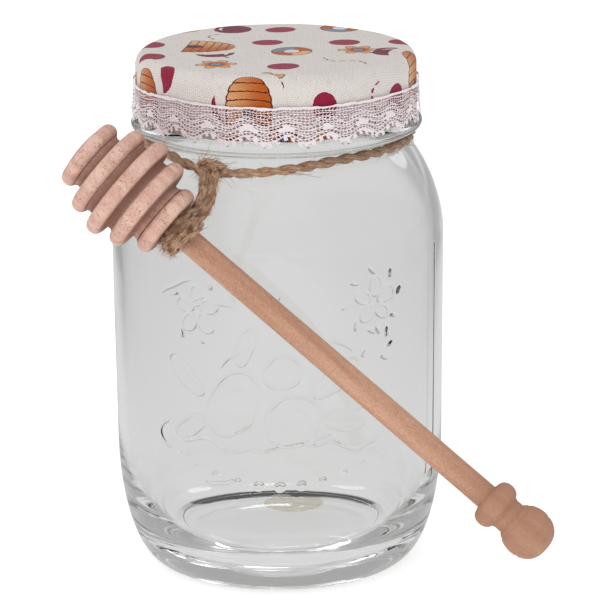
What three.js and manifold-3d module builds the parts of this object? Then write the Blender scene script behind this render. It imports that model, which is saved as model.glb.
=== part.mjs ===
// An empty clear glass honey jar. Its twist-off lid wears a fabric cover with a lace trim, and a jute
// twine round the neck holds a turned wooden honey dipper. Millimetres, +Z up, front towards -Y.

import * as THREE from 'three';
import { mergeVertices } from 'three/addons/utils/BufferGeometryUtils.js';
import Module from 'manifold-3d';

const wasm = await Module();
wasm.setup();

// Room left between neighbouring pieces
const gap = 0.3;

// Glass jar: outside
const bodyRadius = 50.5;
const bodyTaper = 0.45;
const heelTop = 40;
const heelPower = 2.03;
const footRadius = 36.9;
const standingRingWidth = 2.5;
const recessDepth = 0.5;
const recessStepWidth = 0.6;
const recessRadius = footRadius - standingRingWidth - recessStepWidth;
const shoulderStart = 104;
const shoulderRise = 31.7;
const shoulderReach = 17.7;
const shoulderPower = 1.65;
const shoulderStepEasing = 0.8;
const neckRadius = 38.3;
const beadCentre = { r: 40.5, z: 137.4 };
const beadReach = 3.5;
const beadHalfHeight = 2.1;
const beadFillet = { below: 0.5, above: 0.9, inside: 1.0 };
const rimRadius = 39.6;
const jarHeight = 157.0;
const rimRounding = 1.1;

// Glass jar: inside. The floor is a wide bowl that turns up ever faster towards the wall
const wall = 3.0;
const floorHeight = 6.6;
const floorPower = 6;
const floorShares = [1, 0.985, 0.955, 0.9, 0.82, 0.7, 0.5, 0];
const innerShoulderRise = 29.6;
const mouthRadius = 36.3;

// Steps round the jar, the caps and the dipper, and along their profiles
const jarSteps = 48;
const heelSteps = 6;
const shoulderSteps = 7;
const innerShoulderSteps = 5;
const beadSteps = 4;
const capSteps = 40;
const capEdgeSteps = 3;
const dipperSteps = 24;

// Raised fruit and leaves on the front: places are millimetres along the wall from the front line,
// and heights above the table
const reliefRise = 0.8;
const reliefDepth = 1.5;
const fruits = [
  { along: -14, height: 62, length: 21, width: 14.5, turn: 62 },
  { along: 4, height: 57, length: 17, width: 15, turn: 20 },
  { along: 1, height: 72.5, length: 11.5, width: 10.5, turn: 0 },
];
const leaves = [
  { along: -29, height: 70, length: 15, width: 6, turn: 135 },
  { along: -28, height: 54, length: 12, width: 5, turn: 210 },
  { along: 17, height: 70, length: 17, width: 6.5, turn: 38 },
  { along: 20, height: 56, length: 13, width: 5.5, turn: -12 },
  { along: -10, height: 80, length: 12, width: 5, turn: 75 },
];
const blossoms = [
  { along: -25, height: 90, petals: 5, reach: 4.4 },
  { along: 30, height: 92, petals: 5, reach: 4.4 },
];
const petal = { length: 5.6, width: 3.8 };
const garland = { beads: 11, halfWidth: 32, middleHeight: 37, sag: 7, beadSize: 3.0 };
const ovalRings = 6;
const ovalSides = { fruit: 16, leaf: 10, small: 8 };

// Metal twist-off lid
const lidRadius = 41.4;
const lidWall = 0.5;
const lidTop = 158.1;
const lidEdgeRounding = 3.0;
const lidBottom = 140.2;

// Fabric cover over the lid
const coverRadius = 42.3;
const coverThickness = 0.6;
const coverTop = 159.1;
const coverEdgeRounding = 3.8;
const coverBottom = 140.0;

// Lace trim round the cover
const laceRadius = 43.1;
const laceThickness = 0.5;
const laceTop = 150.4;
const laceBottom = 141.2;
const scallops = 23;
const scallopDrop = 1.6;
const stepsPerScallop = 4;

// Jute twine
const twineRadius = 1.5;
const twineSides = 8;
const twineLoopPoints = 48;
const twineLoopSteps = 50;
const twineHighPlace = 0.882;
const twineLowPlace = 0.800;
const twineDipRight = 62;
const twineDipLeft = 36;
const loopEndAngle = 1;
const knotAngle = -24;
const knotCentre = new THREE.Vector3(-19.0, -42.35, 131.4);
const knotSides = 10;
const knotRings = 7;
const knotLumps = [
  { offset: [0, 0, 0], size: [4.2, 3.5, 3.7] },
  { offset: [1.9, -0.9, 1.1], size: [2.8, 2.7, 2.4] },
  { offset: [-1.7, -1.0, -0.9], size: [2.6, 2.5, 2.7] },
];
const wrapTurns = 2.25;
const wrapPitch = 1.7;
const wrapPlace = 38.2;
const wrapSteps = 27;
const wrapTwineRadius = 1.4;

// The two strands of the tie: how far apart they are along the dipper, where each leaves the knot,
// and the radius and angle round the handle of its middle and its end
const tieSteps = 8;
const tieStart = { apart: 1.3, shift: new THREE.Vector3(-0.4, -0.6, -1.5) };
const tieMiddle = { place: wrapPlace + 1.7, apart: 1.4, radius: 10.8, angle: 66 };
const tieEnd = { place: wrapPlace + 1.5, apart: 1.3, angle: 80 };

// Turned wooden honey dipper, lying aslant across the front with its head up at the left
const dipperHead = new THREE.Vector3(-57.9, -41.3, 139.6);
const dipperDirection = new THREE.Vector3(0.7503, -0.2152, -0.6251).normalize();
const discPitch = 7.3;
const firstDisc = 4.7;
const discThickness = 4.7;
const discRadii = [10.95, 14.8, 16.8, 15.05, 11.15];
const coreRadii = [8.9, 12.3, 12.3, 9.4];
const discCorner = 1.5;
const discEasing = { in: 0.3, along: 0.45 };
const coreEdge = 0.15;
const headDome = 1.0;
const headShoulder = { share: 0.55, dome: 0.7 };
const handleRadii = { head: 3.62, knob: 3.8 };
const collar = { place: 159.8, halfLength: 3.1, radius: 7.3, steps: 6 };
const knobNeck = { place: 163.8, radius: 5.0 };
const knob = { place: 171.9, halfLength: 7.3, radius: 7.65, fullness: 0.85, steps: 10, firstStep: 2 };

// Paper sticker under the base, inside the hollow of the standing ring
const stickerRadius = 10;
const stickerThickness = 0.2;
const stickerCentre = { x: 4.4, y: 21.8 };
const stickerTop = 0.35;
const stickerSides = 24;

const slotLooks = {
  glass: { color: 0xe9efec, roughness: 0.05, metalness: 0.0 },
  lidMetal: { color: 0xc9a24a, roughness: 0.35, metalness: 0.9 },
  coverFabric: { color: 0xe6e0d8, roughness: 0.9, metalness: 0.0 },
  laceThread: { color: 0xe8dfe3, roughness: 0.9, metalness: 0.0 },
  jute: { color: 0xa5784f, roughness: 0.95, metalness: 0.0 },
  beech: { color: 0xd3ab92, roughness: 0.6, metalness: 0.0 },
  paper: { color: 0xd2cbb6, roughness: 0.8, metalness: 0.0 },
};

// Turns a closed geometry into a solid that can be joined to others
function solidOf(geometry) {
  const bare = geometry.clone();
  bare.deleteAttribute('normal');
  bare.deleteAttribute('uv');
  const merged = mergeVertices(bare, 1e-4);
  const mesh = new wasm.Mesh({
    numProp: 3,
    vertProperties: new Float32Array(merged.attributes.position.array),
    triVerts: new Uint32Array(merged.index.array),
  });
  mesh.merge();
  return new wasm.Manifold(mesh);
}

function geometryOf(solid) {
  const mesh = solid.getMesh();
  const geometry = new THREE.BufferGeometry();
  geometry.setAttribute('position', new THREE.BufferAttribute(new Float32Array(mesh.vertProperties), 3));
  geometry.setIndex(new THREE.BufferAttribute(new Uint32Array(mesh.triVerts), 1));
  return geometry;
}

function join(geometries) {
  let solid = solidOf(geometries[0]);
  for (const other of geometries.slice(1)) {
    solid = solid.add(solidOf(other));
  }
  return geometryOf(solid);
}

function namedMesh(name, geometry, look) {
  const clean = geometry.clone();
  clean.deleteAttribute('uv');
  const material = new THREE.MeshStandardMaterial(slotLooks[look]);
  const mesh = new THREE.Mesh(clean, material);
  mesh.name = name;
  return mesh;
}

// Spins a profile of { r, z } points, listed outside upwards and inside downwards, about +Z
function spin(profile, steps) {
  const points = profile.map(({ r, z }) => new THREE.Vector2(r, z));
  const geometry = new THREE.LatheGeometry(points, steps);
  geometry.rotateX(Math.PI / 2);
  return geometry;
}

// Points of a quarter superellipse from { r + reach, z } up or down to { r, z + rise }
function roundedQuarter(centre, reach, rise, power, steps) {
  const points = [];
  for (let i = 0; i <= steps; i++) {
    const turn = (i / steps) * Math.PI / 2;
    const r = centre.r + reach * Math.cos(turn) ** (2 / power);
    const z = centre.z + rise * Math.sin(turn) ** (2 / power);
    points.push({ r: Math.max(r, 0), z });
  }
  return points;
}

// A point of the shoulder, outside or inside, where place runs from 0 at its foot to 1
function shoulderPoint(place, footWidth = bodyRadius, rise = shoulderRise) {
  const across = (1 - place ** shoulderPower) ** (1 / shoulderPower);
  return { r: footWidth - shoulderReach * (1 - across), z: shoulderStart + rise * place };
}

// The shoulder from its foot up to where it meets the neck, with the steps closer near the top
function shoulderPoints(footWidth, rise, neckWidth, steps) {
  const lastAcross = 1 - (footWidth - neckWidth) / shoulderReach;
  const lastPlace = (1 - lastAcross ** shoulderPower) ** (1 / shoulderPower);
  const points = [];
  for (let i = 0; i <= steps; i++) {
    const share = Math.sin((i / steps) * Math.PI / 2) ** shoulderStepEasing;
    points.push(shoulderPoint(lastPlace * share, footWidth, rise));
  }
  return points;
}

function bodyRadiusAt(z) {
  const heelRadius = bodyRadius - bodyTaper;
  if (z >= heelTop) {
    return heelRadius + bodyTaper * (z - heelTop) / (shoulderStart - heelTop);
  }
  const down = (heelTop - z) / heelTop;
  return footRadius + (heelRadius - footRadius) * (1 - down ** heelPower) ** (1 / heelPower);
}

function jarOutside() {
  const heelRadius = bodyRadius - bodyTaper;
  const heelCentre = { r: footRadius, z: heelTop };
  const heel = roundedQuarter(heelCentre, heelRadius - footRadius, -heelTop, heelPower, heelSteps);
  const bead = [];
  for (let i = 0; i <= beadSteps; i++) {
    const turn = (i / beadSteps - 0.5) * Math.PI;
    bead.push({
      r: beadCentre.r + beadReach * Math.cos(turn),
      z: beadCentre.z + beadHalfHeight * Math.sin(turn),
    });
  }
  return [
    { r: 0, z: recessDepth },
    { r: recessRadius, z: recessDepth },
    { r: footRadius - standingRingWidth, z: 0 },
    ...heel.reverse(),
    ...shoulderPoints(bodyRadius, shoulderRise, neckRadius, shoulderSteps),
    { r: neckRadius, z: beadCentre.z - beadHalfHeight - beadFillet.below },
    ...bead,
    { r: rimRadius, z: beadCentre.z + beadHalfHeight + beadFillet.above },
    { r: rimRadius, z: jarHeight - rimRounding },
    { r: rimRadius - rimRounding, z: jarHeight },
    { r: mouthRadius + rimRounding, z: jarHeight },
  ];
}

// A point of the bowl inside, where share runs from 0 in the middle to 1 at the wall
function floorPoint(share) {
  const depth = (heelTop - floorHeight) * Math.sqrt(1 - share ** floorPower);
  return { r: share * (bodyRadius - wall - bodyTaper), z: heelTop - depth };
}

function jarInside() {
  const innerNeck = neckRadius - wall;
  const shoulder = shoulderPoints(bodyRadius - wall, innerShoulderRise, innerNeck, innerShoulderSteps);
  return [
    { r: mouthRadius, z: jarHeight - rimRounding },
    { r: mouthRadius, z: beadCentre.z + beadFillet.inside },
    { r: innerNeck, z: beadCentre.z - beadHalfHeight },
    ...shoulder.reverse(),
    ...floorShares.map(floorPoint),
  ];
}

// A smooth raised oval, made flat and then wrapped onto the jar's wall
function raisedOval({ along, height, length, width, turn = 0 }, sides) {
  const sunk = reliefDepth - reliefRise;
  const spread = 1 / Math.sqrt(1 - (sunk / reliefDepth) ** 2);
  const oval = new THREE.SphereGeometry(1, sides, ovalRings);
  oval.rotateX(Math.PI / 2);
  oval.scale(spread * length / 2, spread * width / 2, reliefDepth);
  oval.rotateZ(THREE.MathUtils.degToRad(turn));
  oval.translate(along, height, -sunk);
  const places = oval.attributes.position;
  for (let i = 0; i < places.count; i++) {
    const wallRadius = bodyRadiusAt(places.getY(i));
    const angle = places.getX(i) / bodyRadius;
    const r = wallRadius + places.getZ(i);
    places.setXYZ(i, r * Math.sin(angle), -r * Math.cos(angle), places.getY(i));
  }
  return oval;
}

function blossomOvals({ along, height, petals, reach }) {
  const ovals = [];
  for (let i = 0; i < petals; i++) {
    const turn = 90 + i * 360 / petals;
    const angle = THREE.MathUtils.degToRad(turn);
    ovals.push(raisedOval({
      along: along + reach * Math.cos(angle),
      height: height + reach * Math.sin(angle),
      length: petal.length,
      width: petal.width,
      turn,
    }, ovalSides.small));
  }
  return ovals;
}

function garlandOvals() {
  const ovals = [];
  for (let i = 0; i < garland.beads; i++) {
    const share = 2 * i / (garland.beads - 1) - 1;
    ovals.push(raisedOval({
      along: share * garland.halfWidth,
      height: garland.middleHeight + garland.sag * share * share,
      length: garland.beadSize,
      width: garland.beadSize,
    }, ovalSides.small));
  }
  return ovals;
}

function jarGeometry() {
  const shell = spin([...jarOutside(), ...jarInside()], jarSteps);
  const relief = [
    ...fruits.map((fruit) => raisedOval(fruit, ovalSides.fruit)),
    ...leaves.map((leaf) => raisedOval(leaf, ovalSides.leaf)),
    ...blossoms.flatMap(blossomOvals),
    ...garlandOvals(),
  ];
  return join([shell, ...relief]);
}

// A thin cap: flat top, rounded edge and straight skirt
function capGeometry(radius, thickness, top, bottom, rounding) {
  const centre = { r: radius - rounding, z: top - rounding };
  const outer = roundedQuarter(centre, rounding, rounding, 2, capEdgeSteps);
  const innerRounding = rounding - thickness;
  const inner = roundedQuarter(centre, innerRounding, innerRounding, 2, capEdgeSteps);
  return spin([
    { r: 0, z: top - thickness },
    ...inner.reverse(),
    { r: radius - thickness, z: bottom },
    { r: radius, z: bottom },
    ...outer,
    { r: 0, z: top },
  ], capSteps);
}

function laceGeometry() {
  const inner = laceRadius - laceThickness;
  const ring = spin([
    { r: inner, z: laceBottom },
    { r: laceRadius, z: laceBottom },
    { r: laceRadius, z: laceTop },
    { r: inner, z: laceTop },
    { r: inner, z: laceBottom },
  ], scallops * stepsPerScallop);
  const places = ring.attributes.position;
  for (let i = 0; i < places.count; i++) {
    const angle = Math.atan2(places.getY(i), places.getX(i));
    const drop = scallopDrop * Math.abs(Math.cos(angle * scallops / 2));
    const isLowerEdge = places.getZ(i) < (laceBottom + laceTop) / 2;
    places.setZ(i, isLowerEdge ? laceBottom - drop : laceTop);
  }
  return ring;
}

// A tube of a few flat sides along a smooth curve through the points
function tubeAlong(points, radius, steps) {
  const corners = [];
  for (let i = 0; i < twineSides; i++) {
    const angle = (i / twineSides) * Math.PI * 2;
    corners.push(new THREE.Vector2(radius * Math.cos(angle), radius * Math.sin(angle)));
  }
  const section = new THREE.Shape(corners);
  const extrudePath = new THREE.CatmullRomCurve3(points);
  return new THREE.ExtrudeGeometry(section, { steps, bevelEnabled: false, extrudePath });
}

// Where the middle of the neck twine lies at an angle from the front, in degrees towards the right.
// It rests on the shoulder, and the dipper's weight draws it down near the knot.
function twinePoint(degrees) {
  let away = degrees - knotAngle;
  if (away > 180) away -= 360;
  const reach = away > 0 ? twineDipRight : twineDipLeft;
  const dip = 0.5 + 0.5 * Math.cos(Math.PI * Math.min(1, Math.abs(away) / reach));
  const place = twineHighPlace + (twineLowPlace - twineHighPlace) * dip;
  const here = shoulderPoint(place);
  const next = shoulderPoint(place + 0.001);
  const slope = new THREE.Vector2(next.r - here.r, next.z - here.z).normalize();
  const lift = twineRadius + gap;
  const r = here.r + slope.y * lift;
  const z = here.z - slope.x * lift;
  const angle = THREE.MathUtils.degToRad(degrees);
  return new THREE.Vector3(r * Math.sin(angle), -r * Math.cos(angle), z);
}

// The loop starts and ends inside the knot
function neckLoop() {
  const start = knotAngle + loopEndAngle;
  const sweep = 360 - 2 * loopEndAngle;
  const points = [];
  for (let i = 0; i <= twineLoopPoints; i++) {
    points.push(twinePoint(start + sweep * i / twineLoopPoints));
  }
  return tubeAlong(points, twineRadius, twineLoopSteps);
}

function knotGeometries() {
  return knotLumps.map(({ offset, size }) => {
    const lump = new THREE.SphereGeometry(1, knotSides, knotRings);
    lump.scale(...size);
    lump.rotateZ(THREE.MathUtils.degToRad(knotAngle));
    lump.translate(...offset);
    lump.translate(knotCentre.x, knotCentre.y, knotCentre.z);
    return lump;
  });
}

// Axes of the dipper: along it, and two across it
const acrossDipper = new THREE.Vector3(0, 0, 1).cross(dipperDirection).normalize();
const aboveDipper = dipperDirection.clone().cross(acrossDipper);

function dipperPoint(place, radius, degrees) {
  const angle = THREE.MathUtils.degToRad(degrees);
  return dipperHead.clone()
    .addScaledVector(dipperDirection, place)
    .addScaledVector(acrossDipper, radius * Math.cos(angle))
    .addScaledVector(aboveDipper, radius * Math.sin(angle));
}

const wrapRadius = handleRadii.head + gap + twineRadius;

// The twine goes round the handle just behind the head, starting and ending at the top
function handleWraps() {
  const points = [];
  for (let i = 0; i <= wrapSteps; i++) {
    const turns = wrapTurns * i / wrapSteps;
    points.push(dipperPoint(wrapPlace + wrapPitch * turns, wrapRadius, 90 + turns * 360));
  }
  return tubeAlong(points, wrapTwineRadius, wrapSteps);
}

// Two strands from the knot down to the wraps
function tieStrands() {
  const strands = [];
  for (const side of [-1, 1]) {
    const start = knotCentre.clone().add(tieStart.shift);
    start.x += tieStart.apart * side;
    const middle = dipperPoint(tieMiddle.place + tieMiddle.apart * side, tieMiddle.radius, tieMiddle.angle);
    const end = dipperPoint(tieEnd.place + tieEnd.apart * side, wrapRadius, tieEnd.angle);
    strands.push(tubeAlong([start, middle, end], twineRadius, tieSteps));
  }
  return strands;
}

function twineGeometry() {
  return join([neckLoop(), ...knotGeometries(), ...tieStrands(), handleWraps()]);
}

function discPoints(place, radius) {
  const half = discThickness / 2;
  const easedRadius = radius - discCorner * discEasing.in;
  const easedHalf = half - discCorner * discEasing.along;
  return [
    { r: radius - discCorner, z: place - half },
    { r: easedRadius, z: place - easedHalf },
    { r: radius, z: place },
    { r: easedRadius, z: place + easedHalf },
    { r: radius - discCorner, z: place + half },
  ];
}

// The turned outline, from the tip of the head to the end of the knob
function dipperProfile() {
  const half = discThickness / 2;
  const points = [{ r: 0, z: firstDisc - half - headDome }];
  points.push({ r: discRadii[0] * headShoulder.share, z: firstDisc - half - headDome * headShoulder.dome });
  discRadii.forEach((radius, i) => {
    const place = firstDisc + i * discPitch;
    points.push(...discPoints(place, radius));
    if (i < coreRadii.length) {
      points.push({ r: coreRadii[i], z: place + half + coreEdge });
      points.push({ r: coreRadii[i], z: place + discPitch - half - coreEdge });
    }
  });
  const headEnd = firstDisc + (discRadii.length - 1) * discPitch + half;
  points.push({ r: handleRadii.head, z: headEnd });
  points.push({ r: handleRadii.knob, z: collar.place - collar.halfLength });
  for (let i = 1; i < collar.steps; i++) {
    const turn = (i / collar.steps) * Math.PI;
    points.push({
      r: knobNeck.radius + (collar.radius - knobNeck.radius) * Math.sin(turn),
      z: collar.place - collar.halfLength * Math.cos(turn),
    });
  }
  points.push({ r: knobNeck.radius, z: knobNeck.place });
  for (let i = knob.firstStep; i < knob.steps; i++) {
    const turn = (i / knob.steps) * Math.PI;
    points.push({
      r: knob.radius * Math.sin(turn) ** knob.fullness,
      z: knob.place - knob.halfLength * Math.cos(turn),
    });
  }
  points.push({ r: 0, z: knob.place + knob.halfLength });
  return points;
}

function dipperMesh() {
  const mesh = namedMesh('dipper', spin(dipperProfile(), dipperSteps), 'beech');
  mesh.position.copy(dipperHead);
  mesh.quaternion.setFromUnitVectors(new THREE.Vector3(0, 0, 1), dipperDirection);
  return mesh;
}

function stickerMesh() {
  const disc = new THREE.CylinderGeometry(stickerRadius, stickerRadius, stickerThickness, stickerSides);
  disc.rotateX(Math.PI / 2);
  const mesh = namedMesh('sticker', disc, 'paper');
  mesh.position.set(stickerCentre.x, stickerCentre.y, stickerTop - stickerThickness / 2);
  return mesh;
}

// The origin is put under the middle of the whole, on the table
function standOnOrigin(group) {
  const box = new THREE.Box3().setFromObject(group, true);
  group.position.set(-(box.min.x + box.max.x) / 2, -(box.min.y + box.max.y) / 2, -box.min.z);
  group.updateMatrixWorld(true);
}

const honeyJar = new THREE.Group();
honeyJar.add(
  namedMesh('jar', jarGeometry(), 'glass'),
  namedMesh('lid', capGeometry(lidRadius, lidWall, lidTop, lidBottom, lidEdgeRounding), 'lidMetal'),
  namedMesh('cover', capGeometry(coverRadius, coverThickness, coverTop, coverBottom, coverEdgeRounding),
    'coverFabric'),
  namedMesh('lace', laceGeometry(), 'laceThread'),
  namedMesh('twine', twineGeometry(), 'jute'),
  dipperMesh(),
  stickerMesh(),
);
standOnOrigin(honeyJar);

export default honeyJar;
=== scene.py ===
# Looks of an empty clear glass honey jar: a fabric-covered lid with a lace trim, jute twine round
# the neck and a turned wooden honey dipper tied to it. The constants are millimetres, measured
# from the jar's own axis, with the front towards -Y. The meshes are made in metres.

import random
from math import acos, atan, atan2, copysign, cos, degrees, exp, floor, hypot, pi, radians, sin, sqrt, tau

import bpy
from mathutils import Matrix, Vector, noise


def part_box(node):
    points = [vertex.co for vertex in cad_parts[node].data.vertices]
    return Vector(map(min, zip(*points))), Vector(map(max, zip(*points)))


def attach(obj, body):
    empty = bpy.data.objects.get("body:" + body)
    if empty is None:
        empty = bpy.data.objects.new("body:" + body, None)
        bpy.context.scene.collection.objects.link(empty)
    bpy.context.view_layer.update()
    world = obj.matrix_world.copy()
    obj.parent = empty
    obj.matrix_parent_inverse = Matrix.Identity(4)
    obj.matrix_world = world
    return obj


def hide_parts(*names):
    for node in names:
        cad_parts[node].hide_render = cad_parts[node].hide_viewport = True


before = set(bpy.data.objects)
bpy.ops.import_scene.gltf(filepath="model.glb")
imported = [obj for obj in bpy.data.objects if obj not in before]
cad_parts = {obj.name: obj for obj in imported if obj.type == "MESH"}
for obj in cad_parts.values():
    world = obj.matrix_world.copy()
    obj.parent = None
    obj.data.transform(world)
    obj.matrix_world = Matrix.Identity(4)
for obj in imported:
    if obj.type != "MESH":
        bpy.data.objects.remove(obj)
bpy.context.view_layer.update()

MM = 0.001

# Camera, as the photograph was taken
PICTURE_SIDE = 600
CAMERA_ELEVATION = 15.80
CAMERA_ROLL = -0.62
CAMERA_DISTANCE = 1025
TARGET_HEIGHT = 78
FOCAL_PIXELS = 3337
TARGET_PIXEL = (278.6, 307.9)
SENSOR_WIDTH = 36

# Studio: how bright its floor, horizon and top are, and its panels as (azimuth from behind,
# elevation, half width) in degrees
STUDIO_FLOOR = 0.55
STUDIO_HORIZON = 0.45
STUDIO_TOP = 0.8
STUDIO_PANELS = ((-42, 28, 13), (48, 24, 10))
STUDIO_PANEL_LIGHT = 2.6
STUDIO_MIRRORED = 0.6
FLOOR_GLOW = 0.42
# How much the sticker glows: painted light, as it lies in shade under the glass
STICKER_GLOW = 0.25

# What shows through the glass: an even grey between two dark cards that start at CARD_START
# metres from the middle, over a dark band at the horizon (degrees). The bright panels make glints
THROUGH_GREY = 0.71
THROUGH_LEFT = 0.38
THROUGH_RIGHT = 0.42
THROUGH_BAND = 0.36
BAND_LOW = 2
BAND_HIGH = 26
CARD_START = 0.11
CARD_FULL = 0.30
GLINT_PANELS = ((-30, 50, 8), (35, 46, 7), (5, 62, 7))
GLINT_LIGHT = 4.0
# How much the white enamel inside the lid glows: painted light, as it lies in shade
ENAMEL_GLOW = 0.4
LIGHT_BOUNCES = 24

# Glass jar: outside
BODY_RADIUS = 50.5
BODY_TAPER = 0.45
HEEL_TOP = 40
HEEL_POWER = 2.03
FOOT_RADIUS = 36.9
RING_INNER_RADIUS = 34.4
RECESS_DEPTH = 0.4
RECESS_RADIUS = 34.2
EDGE_ROW = 0.25
SHOULDER_START = 104
SHOULDER_RISE = 31.7
SHOULDER_REACH = 17.7
SHOULDER_POWER = 1.65
NECK_RADIUS = 38.3
NECK_TOP = 134.6
BEAD_RADIUS = 40.5
BEAD_HEIGHT = 137.4
BEAD_REACH = 3.5
BEAD_HALF_HEIGHT = 2.1
RIM_RADIUS = 39.6
COLLAR_START = 140.4
JAR_HEIGHT = 157.0
RIM_ROUNDING = 1.1

# Glass jar: inside. The floor is a wide bowl
WALL = 3.0
FLOOR_HEIGHT = 6.6
FLOOR_POWER = 6
BOWL_MIDDLE = 26
INNER_SHOULDER_RISE = 29.6
MOUTH_RADIUS = 36.3
INNER_NECK_TOP = 135.3
INNER_COLLAR_START = 138.4
JAR_SPIN_STEPS = 240

# Where the relief is, how far apart the wall's rows are there, and how finely its faces are cut
RELIEF_LOW = 29
RELIEF_HIGH = 103.4
RELIEF_ROW = 1.4
RELIEF_HALF_ANGLE = 46
RELIEF_CUTS = 4
RELIEF_REACH = 0.9
RELIEF_WOBBLE = 0.9

# Raised fruit, leaves, blossoms and a garland: millimetres along the wall from the front line,
# heights above the table. Outlines stand out more than what they enclose
OUTLINE_RISE = 0.5
OUTLINE_WIDTH = 0.36
INNER_RISE = 0.22
FRUITS = ((-14, 62, 21, 14.5, 62), (4, 57, 17, 15, 20), (1, 72.5, 11.5, 10.5, 0))
LEAVES = (
    (-29, 70, 15, 6, 135),
    (-28, 54, 12, 5, 210),
    (17, 70, 17, 6.5, 38),
    (20, 56, 13, 5.5, -12),
    (-10, 80, 12, 5, 75),
)
BLOSSOMS = ((-25, 90), (30, 92))
PETALS = 5
PETAL_REACH = 4.4
PETAL_LENGTH = 5.6
PETAL_WIDTH = 3.8
GARLAND_BEADS = 11
GARLAND_HALF_WIDTH = 32
GARLAND_MIDDLE = 37
GARLAND_SAG = 7
GARLAND_BEAD = 3.0

# Short strokes round a middle: (along, height, distance, turns in degrees)
STROKE_RISE = 0.85
STROKE_LENGTH = 3.4
STROKE_WIDTH = 1.25
STROKE_LEAN = 35
STROKES = (
    (30, 92, 9.5, (10, 50, 95, 140, 185, 230, 275, 320)),
    (-25, 90, 9, (60, 150, 235, 280)),
    (31, 78, 5, (-60, 0, 50, 120, 200)),
    (-6, 92, 7, (30, 130)),
    (26, 63, 4, (0, 120)),
)

# Curved tendrils, as (along, height, radius, first degrees, last degrees)
TENDRILS = (
    (-24, 78, 21, 92, 136),
    (-21, 76, 18, 84, 122),
    (-17, 80, 13, 70, 118),
    (-4, 63, 17, 95, 150),
    (10, 60, 22, 48, 82),
    (28, 52, 9, 60, 150),
    (-35, 50, 4.5, 100, 265),
    (-20, 46, 9, 250, 310),
    (14, 44, 8, 70, 140),
)

# Wavy line under the fruit, as (half length, height, first wave, second wave)
LINE_HALF_LENGTH = 34
LINE_HEIGHT = 49
LINE_WAVES = ((1.3, 5.5), (0.6, 2.1))
LINE_RISE = 0.5
LINE_WIDTH = 0.4

# Seam of the mould down the right side
SEAM_ALONG = 60.6
SEAM_RISE = 0.1
SEAM_WIDTH = 0.35

# Mark of the mould round the bowl inside, further out at the back
MARK_RADIUS = 38.3
MARK_BACK = 4.0
MARK_WANDER = 1.3
MARK_RISE = 0.25
MARK_WIDTH = 0.55
MARK_GAP = 1.4
FLOOR_TOP = 20
FLOOR_UNEVENNESS = 0.12

# Metal lid: what lies further in or lower than this is its inside
LID_INNER_RADIUS = 41.15
LID_INNER_TOP = 157.85

# Fabric cover
COVER_RADIUS = 42.3
COVER_TOP = 159.1
COVER_BOTTOM = 140.0
COVER_ROUNDING = 3.8
CLOTH_THICKNESS = 0.45
HEM_WIDTH = 1.1
HEM_DROP = 0.3
COVER_SPIN_STEPS = 360

# Print on the cover. Beehives are (degrees from the front, distance from the middle of the cloth)
MOTIF_PITCH = 18.5
PRINT_SHIFT = (4.0, 11.0, 0)
HIVES = ((-11, 47.5), (78, 46), (150, 50), (222, 45), (-100, 20), (295, 50))
HIVE_HALF_WIDTH = 8.5
HIVE_HALF_HEIGHT = 7.5
HIVE_ROPE = 2.5
HIVE_CLEAR = 11.5
WEAVE_PITCH = 0.55

# Lace trim
LACE_RADIUS = 43.0
LACE_TOP = 150.4
LACE_BOTTOM = 140.5
SCALLOPS = 23
SCALLOP_DROP = 1.2
LACE_COLUMNS = 11
LACE_ROWS = 14
LACE_LENGTH = tau * LACE_RADIUS
LACE_HEIGHT = LACE_TOP - LACE_BOTTOM
LACE_CELL = LACE_LENGTH / SCALLOPS / LACE_COLUMNS
PICOT_LENGTH = 1.0
LACE_UNEVENNESS = 0.42

# Jute twine
TWINE_RADIUS = 1.5
PLIES = 2
PLY_RADIUS = 0.95
PLY_OFFSET = 0.58
PLY_PITCH = 12.5
TWINE_HIGH = 0.882
TWINE_LOW = 0.800
DIP_RIGHT = 62
DIP_LEFT = 36
KNOT_ANGLE = -24
KNOT_CENTRE = Vector((-19.0, -42.35, 131.4))
KNOT_REACH = 1.15
WRAP_TURNS = 2.25
WRAP_PITCH = 2.3
WRAP_PLACE = 37.6
WRAP_RADIUS = 5.4
FIBRES = 2300

# Wooden honey dipper
DIPPER_HEAD = Vector((-57.9, -41.3, 139.6))
DIPPER_DIRECTION = Vector((0.7503, -0.2152, -0.6251)).normalized()
DISC_PITCH = 7.3
FIRST_DISC = 4.7
DISC_THICKNESS = 4.7
DISC_RADII = (10.95, 14.8, 16.8, 15.05, 11.15)
CORE_RADII = (8.9, 12.3, 12.3, 9.4)
DISC_CORNER = 2.2
DISC_FULLNESS = 2.15
HEAD_DOME = 1.0
HANDLE_RADIUS_HEAD = 3.62
HANDLE_RADIUS_KNOB = 3.8
COLLAR_PLACE = 159.8
COLLAR_HALF_LENGTH = 3.1
COLLAR_RADIUS = 7.3
KNOB_NECK_PLACE = 163.8
KNOB_NECK_RADIUS = 5.0
KNOB_PLACE = 171.9
KNOB_HALF_LENGTH = 7.3
KNOB_RADIUS = 7.65
KNOB_FULLNESS = 0.78
SCORED_LINES = (167.4, 173.8)
SCORE_DEPTH = 0.22
SCORE_WIDTH = 0.3
DIPPER_SPIN_STEPS = 96

# Where the jar's axis stands in the shared frame
lid_low, lid_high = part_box("lid")
JAR_AXIS = Vector(((lid_low.x + lid_high.x) / 2, (lid_low.y + lid_high.y) / 2, 0))

random.seed(7)


# Helpers for modelling


def edit_mode():
    bpy.ops.object.mode_set(mode="EDIT")


def object_mode():
    bpy.ops.object.mode_set(mode="OBJECT")


def deselect_all():
    bpy.ops.object.select_all(action="DESELECT")


def make_active(piece):
    deselect_all()
    piece.select_set(True)
    bpy.context.view_layer.objects.active = piece


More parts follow.
